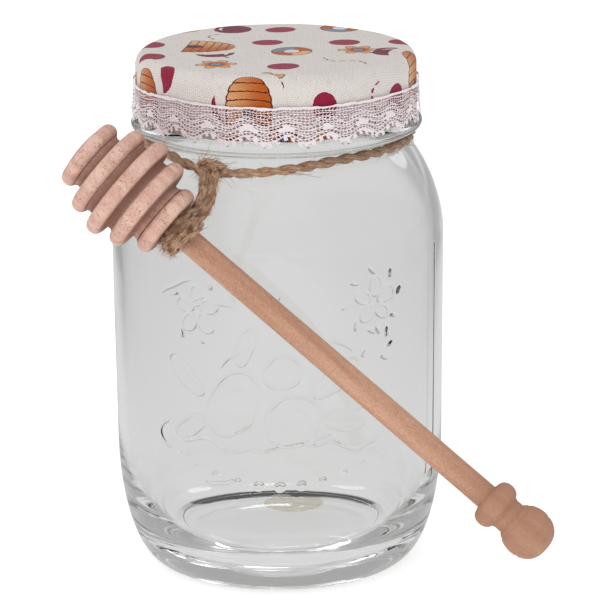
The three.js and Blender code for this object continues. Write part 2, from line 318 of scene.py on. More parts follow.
def draw_profile(name, points):
    """A chain of edges through (radius, height) points in millimetres, drawn by extruding a vertex."""
    deselect_all()
    first = Vector((points[0][0], 0, points[0][1])) * MM
    bpy.ops.mesh.primitive_plane_add(size=MM, location=first)
    piece = bpy.context.object
    piece.name = name
    bpy.ops.object.transform_apply(location=True)
    edit_mode()
    bpy.ops.mesh.merge(type="CENTER")
    for before, after in zip(points, points[1:]):
        step = ((after[0] - before[0]) * MM, 0, (after[1] - before[1]) * MM)
        bpy.ops.mesh.extrude_region_move(TRANSFORM_OT_translate={"value": step})
    object_mode()
    return piece


def spin_profile(piece, steps):
    """Spins the drawn profile all the way round +Z and closes its poles and seam."""
    apply_modifier(piece, "SCREW", angle=tau, steps=steps, render_steps=steps,
                   use_merge_vertices=True, merge_threshold=0.00001, use_smooth_shade=True)
    tidy_surface(piece)


def tidy_surface(piece):
    """Merges what coincides and turns all faces outwards."""
    make_active(piece)
    edit_mode()
    bpy.ops.mesh.select_all(action="SELECT")
    bpy.ops.mesh.remove_doubles(threshold=0.00001)
    bpy.ops.mesh.normals_make_consistent(inside=False)
    object_mode()


def move_points(piece, mover):
    """Moves each point of the mesh to where mover puts it; both are in millimetres."""
    for point in piece.data.vertices:
        point.co = mover(point.co / MM) * MM
    piece.data.update()


def select_parts(piece, chosen, kind="FACE"):
    """Leaves the piece in edit mode with just the chosen faces, or edges, selected."""
    make_active(piece)
    edit_mode()
    bpy.ops.mesh.select_mode(type=kind)
    bpy.ops.mesh.select_all(action="DESELECT")
    object_mode()
    parts = piece.data.polygons if kind == "FACE" else piece.data.edges
    for index in chosen:
        parts[index].select = True
    edit_mode()


def leave_parts():
    """Back to object mode, with later selections made by points again."""
    bpy.ops.mesh.select_mode(type="VERT")
    object_mode()


def apply_modifier(piece, kind, **settings):
    make_active(piece)
    modifier = piece.modifiers.new(kind.title(), kind)
    for name, value in settings.items():
        setattr(modifier, name, value)
    bpy.ops.object.modifier_apply(modifier=modifier.name)


def shade_smooth(piece, angle=None):
    make_active(piece)
    if angle is None:
        bpy.ops.object.shade_smooth()
    else:
        bpy.ops.object.shade_smooth_by_angle(angle=radians(angle))


def join_pieces(name, parts):
    """One piece made of several."""
    deselect_all()
    for part in parts:
        part.select_set(True)
    bpy.context.view_layer.objects.active = parts[0]
    bpy.ops.object.join()
    parts[0].name = name
    return parts[0]


def put_in_place(piece, material, slot, *nodes):
    """Stands a piece, made round the world's middle, on the jar's axis, and dresses it."""
    make_active(piece)
    piece.location = JAR_AXIS
    bpy.ops.object.transform_apply(location=True, rotation=True, scale=True)
    piece.data.materials.clear()
    piece.data.materials.append(material)
    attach(piece, "root")
    if nodes:
        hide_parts(*nodes)
    return piece


def smooth_step(share):
    share = min(1, max(0, share))
    return share * share * (3 - 2 * share)


def ring_way(angle):
    """The way outwards at an angle about the jar's axis."""
    return Vector((cos(angle), sin(angle), 0))


def bumpiness(x, y, z):
    return noise.noise(Vector((x, y, z)))


def spaced(start, end, count):
    """count + 1 evenly spaced values from start to end."""
    return [start + (end - start) * i / count for i in range(count + 1)]


# Helpers for materials. They all add to one tree of nodes at a time


class Board:
    tree = None


def node(kind, inputs=(), **settings):
    """A shader node with its settings and inputs, each input a plain value or another node's socket."""
    made = Board.tree.nodes.new("ShaderNode" + kind)
    for name, value in settings.items():
        setattr(made, name, value)
    fill(made, inputs)
    return made


def fill(made, inputs):
    for name, value in dict(inputs).items():
        if isinstance(value, bpy.types.NodeSocket):
            Board.tree.links.new(value, made.inputs[name])
        else:
            made.inputs[name].default_value = value


def feed(shader, **inputs):
    """Sets or links the shader's inputs, named with underscores for spaces."""
    fill(shader, {name.replace("_", " "): value for name, value in inputs.items()})


def calc(operation, first, second=0.0, third=0.0):
    return node("Math", {0: first, 1: second, 2: third}, operation=operation).outputs[0]


def plus(first, second):
    return calc("ADD", first, second)


def minus(first, second):
    return calc("SUBTRACT", first, second)


def times(first, second):
    """Two values multiplied, or where two masks both hold."""
    return calc("MULTIPLY", first, second)


def times_plus(first, second, third):
    return calc("MULTIPLY_ADD", first, second, third)


def below(value, limit):
    return calc("LESS_THAN", value, limit)


def above(value, limit):
    return calc("GREATER_THAN", value, limit)


def between(value, low, high):
    return times(above(value, low), below(value, high))


def vector_calc(operation, first, second=(0, 0, 0)):
    return node("VectorMath", {0: first, 1: second}, operation=operation).outputs[0]


def length_of(vector):
    return node("VectorMath", {0: vector}, operation="LENGTH").outputs["Value"]


def part(vector, axis):
    return node("SeparateXYZ", {0: vector}).outputs[axis]


def stretched(place, scale):
    return node("Mapping", {"Vector": place, "Scale": scale}).outputs["Vector"]


def ramp(value, low, high, out_low=0.0, out_high=1.0):
    """value runs from low to high; what comes out runs smoothly from out_low to out_high."""
    inputs = {"Value": value, "From Min": low, "From Max": high, "To Min": out_low, "To Max": out_high}
    return node("MapRange", inputs, interpolation_type="SMOOTHSTEP").outputs[0]


def mix(share, first, second, blend="MIX"):
    """Two colours mixed."""
    return node("Mix", {0: share, 6: first, 7: second}, data_type="RGBA", blend_type=blend).outputs[2]


def layered(tone, kind, *layers):
    """A colour with (share, colour) layers over it, one after another, where kind, if any, holds."""
    for share, over in layers:
        tone = mix(share if kind is None else times(kind, share), tone, over)
    return tone


def mix_values(share, first, second):
    return node("Mix", {0: share, 2: first, 3: second}).outputs[0]


def cloud(vector, scale, detail=2.0, rough=0.5, distortion=0.0):
    inputs = {"Vector": vector, "Scale": scale, "Detail": detail, "Roughness": rough,
              "Distortion": distortion}
    return node("TexNoise", inputs).outputs["Fac"]


def bump(height, strength, distance):
    return node("Bump", {"Height": height, "Strength": strength, "Distance": distance}).outputs["Normal"]


def noted(name):
    """A value that the mesh carries on its points."""
    return node("Attribute", attribute_name=name).outputs["Fac"]


def colour(red, green, blue):
    """A linear colour from the 0 to 255 values that a screen shows."""
    def linear(value):
        share = value / 255
        return share / 12.92 if share <= 0.04045 else ((share + 0.055) / 1.055) ** 2.4
    return linear(red), linear(green), linear(blue), 1.0


CRIMSON = colour(152, 32, 64)
BERRY_RED = colour(116, 20, 48)
ORANGE = colour(190, 94, 28)
TAN = colour(232, 186, 134)
OUTLINE_BROWN = colour(104, 40, 30)
BLUE_GREY = colour(128, 142, 170)
DOOR_BROWN = colour(70, 34, 30)
CLOTH_WHITE = colour(240, 236, 231)


def new_material(name):
    """A material, whose tree the helpers then add to, and its shader."""
    material = bpy.data.materials.new(name)
    material.use_nodes = True
    Board.tree = material.node_tree
    return material, Board.tree.nodes["Principled BSDF"]


def replace_surface(share, shader, other):
    """Shows the other shader instead, where share says so."""
    joined = node("MixShader", {0: share, 1: shader.outputs[0], 2: other.outputs[0]})
    fill(Board.tree.nodes["Material Output"], {"Surface": joined.outputs[0]})


def object_place(turn=(0, 0, 0), shift=(0, 0, 0)):
    """Object coordinates, moved and turned."""
    place = node("TexCoord").outputs["Object"]
    return node("Mapping", {"Vector": place, "Location": shift, "Rotation": turn}).outputs["Vector"]


# Camera and light


def make_camera():
    elevation = radians(CAMERA_ELEVATION)
    back = Vector((0, -cos(elevation), sin(elevation)))
    target = JAR_AXIS + Vector((0, 0, TARGET_HEIGHT * MM))
    level = (-back).to_track_quat("-Z", "Y").to_matrix()
    rolled = level @ Matrix.Rotation(radians(CAMERA_ROLL), 3, "Z")
    yaw = atan((PICTURE_SIDE / 2 - TARGET_PIXEL[0]) / FOCAL_PIXELS)
    pitch = atan((TARGET_PIXEL[1] - PICTURE_SIDE / 2) / FOCAL_PIXELS)
    aimed = rolled @ Matrix.Rotation(-yaw, 3, "Y") @ Matrix.Rotation(pitch, 3, "X")
    deselect_all()
    bpy.ops.object.camera_add()
    camera = bpy.context.object
    camera.name = "photo_camera"
    camera.matrix_world = Matrix.Translation(target + back * CAMERA_DISTANCE * MM) @ aimed.to_4x4()
    camera.data.sensor_width = SENSOR_WIDTH
    camera.data.lens = FOCAL_PIXELS * SENSOR_WIDTH / PICTURE_SIDE
    camera.data.clip_end = 20
    bpy.context.scene.camera = camera


def make_lamp(name, place, size, watts):
    """A round soft lamp that the glass doesn't mirror."""
    deselect_all()
    bpy.ops.object.light_add(type="AREA", location=place)
    lamp = bpy.context.object
    lamp.name = name
    lamp.data.shape = "DISK"
    lamp.data.size = size
    lamp.data.energy = watts
    lamp.visible_glossy = False
    lamp.visible_transmission = False
    towards = Vector((0, 0, 0.08)) - lamp.location
    lamp.rotation_euler = towards.to_track_quat("-Z", "Y").to_euler()


def add_panels(direction, panels, light, level):
    """A level with bright panels, each (azimuth, elevation, half width) in degrees, added to it."""
    for azimuth, elevation, width in panels:
        a, e = radians(azimuth), radians(elevation)
        middle = (sin(a) * cos(e), cos(a) * cos(e), sin(e))
        nearness = node("VectorMath", {0: direction, 1: middle}, operation="DOT_PRODUCT").outputs["Value"]
        strip = ramp(nearness, cos(radians(width)), cos(radians(width * 0.7)))
        level = times_plus(strip, light, level)
    return level


def cards(sideways, start, full):
    """The brightness that shows through the glass, from a place or direction's sideways value."""
    level = ramp(sideways, -full, -start, THROUGH_LEFT, THROUGH_GREY)
    return plus(level, ramp(sideways, start, full, 0, THROUGH_RIGHT - THROUGH_GREY))


def make_world():
    """White for the camera. The glass sees a soft studio: bright above, greyer near the horizon,
    with two bright panels behind."""
    world = bpy.data.worlds.new("soft_studio")
    bpy.context.scene.world = world
    world.use_nodes = True
    Board.tree = world.node_tree
    direction = node("TexCoord").outputs["Generated"]
    height = part(direction, "Z")
    low_part = ramp(height, -0.05, 0.12, STUDIO_FLOOR, STUDIO_HORIZON)
    high_part = ramp(height, 0.3, 0.65, 0.0, STUDIO_TOP - STUDIO_HORIZON)
    level = plus(low_part, high_part)
    mirrored = add_panels(direction, STUDIO_PANELS, STUDIO_PANEL_LIGHT, STUDIO_MIRRORED)
    rays = node("LightPath").outputs
    level = mix_values(rays["Is Glossy Ray"], level, mirrored)
    sideways = part(direction, "X")
    through = cards(sideways, CARD_START * 2, CARD_FULL * 2)
    low, high = sin(radians(BAND_LOW)), sin(radians(BAND_HIGH))
    band = times(ramp(height, low, low + 0.04), ramp(height, high, high + 0.1, 1, 0))
    through = mix_values(band, through, THROUGH_BAND)
    through = add_panels(direction, GLINT_PANELS, GLINT_LIGHT, through)
    level = mix_values(rays["Is Transmission Ray"], level, through)
    level = calc("MAXIMUM", level, rays["Is Camera Ray"])
    fill(Board.tree.nodes["Background"], {"Color": (1, 1, 1, 1), "Strength": level})


def make_floor():
    """A plain pale floor. Through the glass it shows as an even grey between two cards."""
    deselect_all()
    bpy.ops.mesh.primitive_circle_add(vertices=64, radius=6, fill_type="NGON", location=(0, 0, -0.0002))
    floor = bpy.context.object
    floor.name = "floor"
    material, shader = new_material("pale_floor")
    feed(shader, Base_Color=(0.95, 0.95, 0.95, 1), Roughness=0.9, Specular_IOR_Level=0.1)
    feed(shader, Emission_Color=(1, 1, 1, 1), Emission_Strength=FLOOR_GLOW)
    place = object_place(shift=-JAR_AXIS)
    sideways = part(place, "X")
    glow = node("Emission", {"Strength": cards(sideways, CARD_START, CARD_FULL)})
    through = node("LightPath").outputs["Is Glossy Ray"]
    replace_surface(through, shader, glow)
    floor.data.materials.append(material)


# Materials


def clear_glass():
    """Faintly grey-green moulded glass, not quite even. Lamps shine through it."""
    material, shader = new_material("clear_glass")
    place = object_place()
    height = plus(cloud(place, 22, 1.5, distortion=0.6), times(cloud(place, 95, 1.0), 0.15))
    tint = mix(cloud(place, 9), (0.962, 0.966, 0.96, 1), (0.98, 0.982, 0.979, 1))
    feed(shader, Base_Color=tint, Roughness=0.015, IOR=1.5, Transmission_Weight=1.0,
         Normal=bump(height, 0.15, 0.0006))
    clear = node("BsdfTransparent", {"Color": (0.9, 0.91, 0.9, 1)})
    replace_surface(node("LightPath").outputs["Is Shadow Ray"], shader, clear)
    return material


def gold_lacquer():
    """Gold lacquer outside, white enamel inside the lid, which glows a little: painted light, as the lid's
    inside lies in shade.
    """
    material, shader = new_material("gold_lacquer")
    place = object_place(shift=-JAR_AXIS)
    wear = ramp(cloud(place, 160, 4.0, 0.65), 0.55, 0.75)
    reach = length_of(vector_calc("MULTIPLY", place, (1, 1, 0)))
    inner = times(below(reach, LID_INNER_RADIUS * MM), below(part(place, "Z"), LID_INNER_TOP * MM))
    tone = mix(wear, colour(196, 150, 62), colour(168, 128, 60))
    tone = mix(inner, tone, colour(236, 236, 232))
    # The emission inside the lid is painted light on the white enamel
    feed(shader, Base_Color=tone, Metallic=ramp(inner, 0, 1, 0.9, 0), Roughness=ramp(wear, 0, 1, 0.28, 0.42),
         Coat_Weight=0.6, Coat_Roughness=0.15, Normal=bump(cloud(place, 900), 0.1, 0.0001),
         Emission_Color=tone, Emission_Strength=times(inner, ENAMEL_GLOW))
    return material


def sticker_paper():
    material, shader = new_material("sticker_paper")
    place = object_place()
    fibre = cloud(place, 2600, 3.0)
    tone = mix(cloud(place, 90), colour(244, 238, 224), colour(232, 222, 206))
    tone = mix(times(fibre, 0.25), tone, colour(170, 156, 132))
    # The emission is painted light: the paper glows a little in the shade under the glass
    feed(shader, Base_Color=tone, Roughness=0.85, Normal=bump(fibre, 0.2, 0.00005),
         Emission_Color=tone, Emission_Strength=STICKER_GLOW)
    return material


def weave(vector, pitch):
    """The height of a plain weave of warp and weft threads. The pitch is in metres."""
    wander = node("TexNoise", {"Vector": vector, "Scale": 260.0, "Detail": 1.0}).outputs["Color"]
    place = vector_calc("ADD", vector, vector_calc("MULTIPLY", wander, (0.0004, 0.0004, 0)))
    warp, weft = [calc("SINE", times(part(place, axis), pi / pitch)) for axis in "XY"]
    ridge = plus(calc("ABSOLUTE", warp), calc("ABSOLUTE", weft))
    return times_plus(times(warp, weft), 0.35, times(ridge, 0.4))


def polar(place, middle, turn):
    """A place as seen from a motif's middle, turned with the motif: the whole, then its two
    coordinates, distance and angle."""
    local = node("VectorRotate", {"Vector": vector_calc("SUBTRACT", place, middle), "Angle": turn},
                 rotation_type="Z_AXIS").outputs[0]
    x, y = part(local, "X"), part(local, "Y")
    return local, x, y, length_of(local), calc("ARCTAN2", y, x)


def paint_dot(tone, kind, reach, angle):
    edge = times_plus(calc("SINE", times(angle, 2)), 0.25, 4.5)
    return layered(tone, kind, (above(edge, reach), CRIMSON))


def paint_berry(tone, kind, place, x, y, reach):
    """A dark red berry with seeds and a pale glint, on a short brown stalk."""
    stalk = times(between(x, -0.4, 0.4), between(y, 5.0, 8.2))
    seeds = node("TexVoronoi", {"Vector": place, "Scale": 0.75}).outputs["Distance"]
    flesh = mix(below(seeds, 0.28), BERRY_RED, CRIMSON)
    glint = times(times(between(reach, 3.4, 4.3), between(x, -3.6, -1.2)), above(y, 0.4))
    return layered(tone, kind, (stalk, OUTLINE_BROWN), (below(reach, 5.9), flesh), (glint, CLOTH_WHITE))


def paint_ring(tone, kind, reach, angle):
    """An outlined ring in three colours."""
    tone = layered(tone, kind, (between(reach, 2.4, 6.2), OUTLINE_BROWN))
    inner = times(kind, between(reach, 2.8, 5.8))
    return layered(tone, inner, (1, ORANGE), (between(angle, 0.5, 2.3), BLUE_GREY),
                   (between(angle, -2.4, -0.9), TAN))


def paint_daisy(tone, kind, reach, angle):
    wave = calc("ABSOLUTE", calc("COSINE", times(angle, 3)))
    left = minus(times_plus(wave, 2.6, 3.6), reach)
    petals = mix(ramp(reach, 2.0, 5.5), ORANGE, TAN)
    return layered(tone, kind, (above(left, 0), OUTLINE_BROWN), (above(left, 0.5), petals),
                   (below(reach, 2.1), OUTLINE_BROWN), (below(reach, 1.7), BLUE_GREY))


def paint_dashes(tone, kind, x, y):
    """A curved row of short crimson dashes."""
    curve = times(calc("SINE", times(x, 0.45)), 2.0)
    off_curve = calc("ABSOLUTE", minus(y, curve))
    dash = times(below(off_curve, 0.42), below(calc("FRACT", times(x, 0.42)), 0.62))
    return layered(tone, kind, (times(dash, between(x, -8, 8)), CRIMSON))


def paint_scatter(tone, place):
    """Small motifs of five kinds, scattered at random turns over the cloth."""
    cells = node("TexVoronoi", {"Vector": place, "Scale": 1 / MOTIF_PITCH, "Randomness": 0.55},
                 voronoi_dimensions="2D").outputs
    chance, kind, _ = node("SeparateColor", {0: cells["Color"]}).outputs
    local, x, y, reach, angle = polar(place, cells["Position"], times(chance, tau))
    tone = paint_dot(tone, below(kind, 0.36), reach, angle)
    tone = paint_berry(tone, between(kind, 0.36, 0.5), local, x, y, reach)
    tone = paint_ring(tone, between(kind, 0.5, 0.64), reach, angle)
    tone = paint_daisy(tone, between(kind, 0.64, 0.84), reach, angle)
    return paint_dashes(tone, above(kind, 0.84), x, y)


def paint_beehive(tone, cloth, place, middle, turn):
    """A straw beehive on its own patch of plain cloth."""
    local, x, y, reach, _ = polar(place, middle, turn)
    up = plus(y, HIVE_HALF_HEIGHT)
    share = calc("MAXIMUM", calc("DIVIDE", up, 2 * HIVE_HALF_HEIGHT), 0)
    half_width = calc("SQRT", calc("MAXIMUM", minus(1, calc("POWER", share, 2.4)), 0))
    rope = calc("FRACT", calc("DIVIDE", up, HIVE_ROPE))
    bulge = calc("SINE", times(rope, pi))
    half_width = times_plus(bulge, 0.35, times(half_width, HIVE_HALF_WIDTH))
    left = minus(half_width, calc("ABSOLUTE", x))
    body = times(above(left, 0), between(y, -HIVE_HALF_HEIGHT, HIVE_HALF_HEIGHT))
    climb = ramp(y, -HIVE_HALF_HEIGHT, HIVE_HALF_HEIGHT)
    line = calc("MAXIMUM", below(rope, 0.15), below(left, 0.55))
    door_place = vector_calc("ADD", local, (0, HIVE_HALF_HEIGHT - 2.2, 0))
    door = length_of(vector_calc("MULTIPLY", door_place, (1, 0.7, 0)))
    straw = mix(ramp(x, -HIVE_HALF_WIDTH, HIVE_HALF_WIDTH * 0.6), TAN, ORANGE)
    straw = layered(straw, None, (times(climb, 0.3), ORANGE), (line, OUTLINE_BROWN),
                    (below(door, 2.2), OUTLINE_BROWN), (below(door, 1.6), DOOR_BROWN))
    return layered(tone, None, (below(reach, HIVE_CLEAR), cloth), (body, straw))


def printed_cotton():
    """Off-white cotton with a scattered print of dots, berries, rings, daisies and beehives, with painted
    shade in the hollows of the weave and a painted shadow under the lace.
    """
    material, shader = new_material("printed_cotton")
    flat = node("UVMap", uv_map="flat").outputs["UV"]
    height = weave(flat, WEAVE_PITCH * MM)
    cloth = mix(cloud(flat, 70), colour(236, 231, 226), colour(226, 220, 216))
    slubs = cloud(stretched(flat, (1, 0.08, 1)), 2600)
    cloth = mix(ramp(slubs, 0.56, 0.7, 0, 0.5), cloth, colour(198, 188, 182))
    frayed = node("TexNoise", {"Vector": flat, "Scale": 1400.0, "Detail": 1.0}).outputs["Color"]
    shift = vector_calc("MULTIPLY", vector_calc("SUBTRACT", frayed, (0.5, 0.5, 0.5)), (0.5, 0.5, 0))
    place = vector_calc("ADD", vector_calc("MULTIPLY", flat, (1000, 1000, 0)), shift)
    tone = paint_scatter(cloth, vector_calc("ADD", place, PRINT_SHIFT))
    for turn, reach in HIVES:
        angle = radians(turn)
        tone = paint_beehive(tone, cloth, place, (reach * sin(angle), -reach * cos(angle), 0), -angle)
    # Painted shade: the cloth darkens in the hollows of its weave
    tone = mix(ramp(height, 0.2, 0.75, 0.6, 0.0), tone, colour(206, 198, 195), "MULTIPLY")
    # Painted shadow: the cloth under the lace is darker and pinker, as if the lace shades it
    painted_lace_shadow = ramp(part(object_place(), "Z"), LACE_TOP * MM, (LACE_TOP - 1) * MM, 0, 0.85)
    tone = mix(painted_lace_shadow, tone, colour(216, 198, 201), "MULTIPLY")
    feed(shader, Base_Color=tone, Roughness=0.9, Sheen_Weight=0.25, Sheen_Roughness=0.4,
         Specular_IOR_Level=0.2, Normal=bump(height, 0.6, 0.00015))
    return material


def lace_thread():
    material, shader = new_material("lace_thread")
    twist = cloud(object_place(), 2400, 3.0, 0.6)
    tone = mix(twist, colour(222, 208, 212), colour(243, 234, 237))
    feed(shader, Base_Color=tone, Roughness=0.8, Sheen_Weight=0.3, Sheen_Roughness=0.4,
         Specular_IOR_Level=0.3, Normal=bump(twist, 0.6, 0.0001))
    return material


def jute():
    """Brown-grey jute with paler fibres that run along each ply, and painted shade that makes it darker and
    greyer on the right.
    """
    material, shader = new_material("jute")
    place = object_place()
    strand = node("UVMap", uv_map="UVMap").outputs["UV"]
    streaks = cloud(stretched(strand, (0.45, 14, 1)), 1.0, 3.0, 0.65)
    fine = cloud(place, 2400, 3.0, 0.65)
    # Painted shade: the twine is darker and greyer towards the right
    right_side_shade = ramp(part(place, "X"), -15 * MM, 15 * MM, 0, 0.45)
    tone = mix(ramp(streaks, 0.32, 0.68), colour(140, 100, 74), colour(214, 178, 146))
    tone = layered(tone, None, (ramp(fine, 0.5, 0.75, 0, 0.5), colour(120, 80, 56)),
                   (times(cloud(place, 190), 0.45), colour(176, 134, 102)), (right_side_shade, colour(108, 78, 66)))
    feed(shader, Base_Color=tone, Roughness=0.9, Sheen_Weight=0.25, Specular_IOR_Level=0.2,
         Normal=bump(times_plus(fine, 0.4, streaks), 0.8, 0.0004))
    return material


def jute_hair():
    material, shader = new_material("jute_hair")
    patches = ramp(cloud(object_place(), 500), 0.35, 0.65)
    tone = mix(patches, colour(224, 192, 164), colour(134, 94, 70))
    feed(shader, Base_Color=tone, Roughness=0.8, Specular_IOR_Level=0.3)
    return material


def beech():
    """Pale pinkish beech with flecks and fine hairlines along the dipper, paler on its head, and darker deep
    in the grooves between the discs: partly the wood's own colour, partly painted shade.
    """
    material, shader = new_material("beech")
    upright = DIPPER_DIRECTION.rotation_difference(Vector((0, 0, 1))).to_euler()
    place = object_place(turn=tuple(upright))
    long_way = stretched(place, (1, 1, 0.05))
    bent = stretched(place, (1, 1, 0.7))
    on_head = noted("head")
    bands = cloud(long_way, 260, 3.0, 0.6)
    hairs = ramp(cloud(long_way, 900, 3.0, 0.7), 0.62, 0.72)
    flecks = ramp(cloud(stretched(place, (1, 1, 0.16)), 1500), 0.66, 0.76)
    line = calc("ABSOLUTE", minus(cloud(bent, 480, 2.5, 0.55, 1.2), 0.5))
    cracks = times(ramp(line, 0.004, 0.018, 1, 0), ramp(cloud(place, 330), 0.36, 0.46))
    mottle = cloud(bent, 1900, 3.0, 0.7)
    pale = mix(ramp(bands, 0.35, 0.65), colour(228, 190, 174), colour(212, 168, 152))
    tone = mix(ramp(bands, 0.3, 0.7), colour(206, 161, 133), colour(180, 132, 107))
    tone = layered(
        tone, None,
        (on_head, pale),
        (times(flecks, ramp(on_head, 0, 1, 0.6, 0.25)), colour(136, 88, 66)),
        (times(hairs, 0.4), colour(156, 108, 84)),
        (times(cracks, ramp(on_head, 0, 1, 0.35, 0.75)), colour(128, 84, 72)),
        (ramp(mottle, 0.5, 0.7, 0, 0.35), colour(146, 98, 76)),
        (ramp(mottle, 0.3, 0.45, 0.3, 0), colour(236, 206, 186)),
        (times(noted("knob"), 0.6), colour(168, 122, 98)),
        # Darker deep in the grooves between the discs: partly the wood's own colour, partly painted shade
        (times(noted("groove"), 0.85), colour(128, 84, 68)),
    )
    feed(shader, Base_Color=tone, Roughness=0.62, Specular_IOR_Level=0.35,
         Normal=bump(minus(bands, times(hairs, 0.6)), 0.25, 0.0002))
    return material


# Glass jar


def shoulder_point(place, foot=BODY_RADIUS, rise=SHOULDER_RISE):
    across = (1 - place ** SHOULDER_POWER) ** (1 / SHOULDER_POWER)
    return foot - SHOULDER_REACH * (1 - across), SHOULDER_START + rise * place


def shoulder_points(foot, rise, neck, count):
    across = 1 - (foot - neck) / SHOULDER_REACH
    last = (1 - across ** SHOULDER_POWER) ** (1 / SHOULDER_POWER)
    return [shoulder_point(last * sin(turn), foot, rise) for turn in spaced(0, pi / 2, count)]


def body_radius_at(height):
    heel = BODY_RADIUS - BODY_TAPER
    if height >= HEEL_TOP:
        share = min(1, (height - HEEL_TOP) / (SHOULDER_START - HEEL_TOP))
        return heel + BODY_TAPER * share
    down = (HEEL_TOP - height) / HEEL_TOP
    return FOOT_RADIUS + (heel - FOOT_RADIUS) * (1 - down ** HEEL_POWER) ** (1 / HEEL_POWER)


def arc_points(radius, height, reach, rise, start, end, count):
    """Points of an ellipse's arc about (radius, height), from start to end degrees."""
    turns = [radians(turn) for turn in spaced(start, end, count)]
    return [(radius + reach * cos(turn), height + rise * sin(turn)) for turn in turns]


def rim_arc(radius, start, end):
    return arc_points(radius, JAR_HEIGHT - RIM_ROUNDING, RIM_ROUNDING, RIM_ROUNDING, start, end, 5)


def jar_outside():
    under = [(radius, RECESS_DEPTH) for radius in spaced(0, RECESS_RADIUS - EDGE_ROW, 6) + [RECESS_RADIUS]]
    ring_step = [(RECESS_RADIUS + (RING_INNER_RADIUS - RECESS_RADIUS) * share,
                  RECESS_DEPTH * (1 - smooth_step(share))) for share in spaced(0, 1, 6)[1:]]
    heel_end = acos(1 - RELIEF_LOW / HEEL_TOP)
    heights = [HEEL_TOP * (1 - cos(turn)) for turn in spaced(0, heel_end, 24)]
    heights += spaced(RELIEF_LOW, RELIEF_HIGH, round((RELIEF_HIGH - RELIEF_LOW) / RELIEF_ROW))[1:]
    heights += spaced(RELIEF_HIGH, SHOULDER_START, 4)[1:-1]
    body = [(body_radius_at(height), height) for height in heights]
    shoulder = shoulder_points(BODY_RADIUS, SHOULDER_RISE, NECK_RADIUS, 26)
    bead = arc_points(BEAD_RADIUS, BEAD_HEIGHT, BEAD_REACH, BEAD_HALF_HEIGHT, -90, 90, 14)
    collar = [(RIM_RADIUS, height) for height in spaced(COLLAR_START, JAR_HEIGHT - RIM_ROUNDING, 6)]
    rim = rim_arc(RIM_RADIUS - RIM_ROUNDING, 0, 90)
    under_edge = [*ring_step, (RING_INNER_RADIUS + EDGE_ROW, 0)]
    return under + under_edge + body + shoulder + [(NECK_RADIUS, NECK_TOP)] + bead + collar + rim[1:]


def floor_height_at(radius):
    share = min(1, radius / (BODY_RADIUS - WALL - BODY_TAPER))
    return HEEL_TOP - (HEEL_TOP - FLOOR_HEIGHT) * sqrt(1 - share ** FLOOR_POWER)


def floor_radius_at(height):
    down = (HEEL_TOP - height) / (HEEL_TOP - FLOOR_HEIGHT)
    return (BODY_RADIUS - WALL - BODY_TAPER) * (1 - down ** 2) ** (1 / FLOOR_POWER)


def jar_inside():
    inner_body = BODY_RADIUS - WALL
    rim = rim_arc(MOUTH_RADIUS + RIM_ROUNDING, 90, 180)
    mouth_heights = spaced(JAR_HEIGHT - RIM_ROUNDING, INNER_COLLAR_START, 5)[1:]
    mouth = [(MOUTH_RADIUS, height) for height in mouth_heights]
    inner_neck = NECK_RADIUS - WALL
    shoulder = shoulder_points(inner_body, INNER_SHOULDER_RISE, inner_neck, 20)[::-1]
    shoulder[0] = (inner_neck, INNER_NECK_TOP)
    wall = [(inner_body - BODY_TAPER * share, SHOULDER_START + (HEEL_TOP - SHOULDER_START) * share)
            for share in spaced(0, 1, 5)[1:-1]]
    bend = floor_radius_at(FLOOR_TOP)
    side = [(floor_radius_at(height), height) for height in spaced(HEEL_TOP, FLOOR_TOP, 12)]
    bowl = [(radius, floor_height_at(radius)) for radius in spaced(bend, BOWL_MIDDLE, 38)]
    middle = [(radius, floor_height_at(radius)) for radius in spaced(BOWL_MIDDLE, 0, 10)]
    return rim + mouth + shoulder + wall + side + bowl[1:] + middle[1:]


def beside(x, z, reach, turn):
    angle = radians(turn)
    return x + reach * cos(angle), z + reach * sin(angle)


def relief_ovals():
    """Ovals as (along, height, length, width, turn, kind)."""
    ovals = [(*fruit, "fruit") for fruit in FRUITS]
    ovals += [(*leaf, "leaf") for leaf in LEAVES]
    for x, z in BLOSSOMS:
        for i in range(PETALS):
            turn = 90 + i * 360 / PETALS
            ovals.append((*beside(x, z, PETAL_REACH, turn), PETAL_LENGTH, PETAL_WIDTH, turn, "petal"))
    for share in spaced(-1, 1, GARLAND_BEADS - 1):
        height = GARLAND_MIDDLE + GARLAND_SAG * share * share
        ovals.append((share * GARLAND_HALF_WIDTH, height, GARLAND_BEAD, GARLAND_BEAD, 0, "bead"))
    for x, z, reach, turns in STROKES:
        ovals += [(*beside(x, z, reach, turn), STROKE_LENGTH, STROKE_WIDTH, turn + STROKE_LEAN, "stroke")
                  for turn in turns]
    return ovals


def hump(away, width, rise):
    return rise * exp(-(away / width) ** 2)


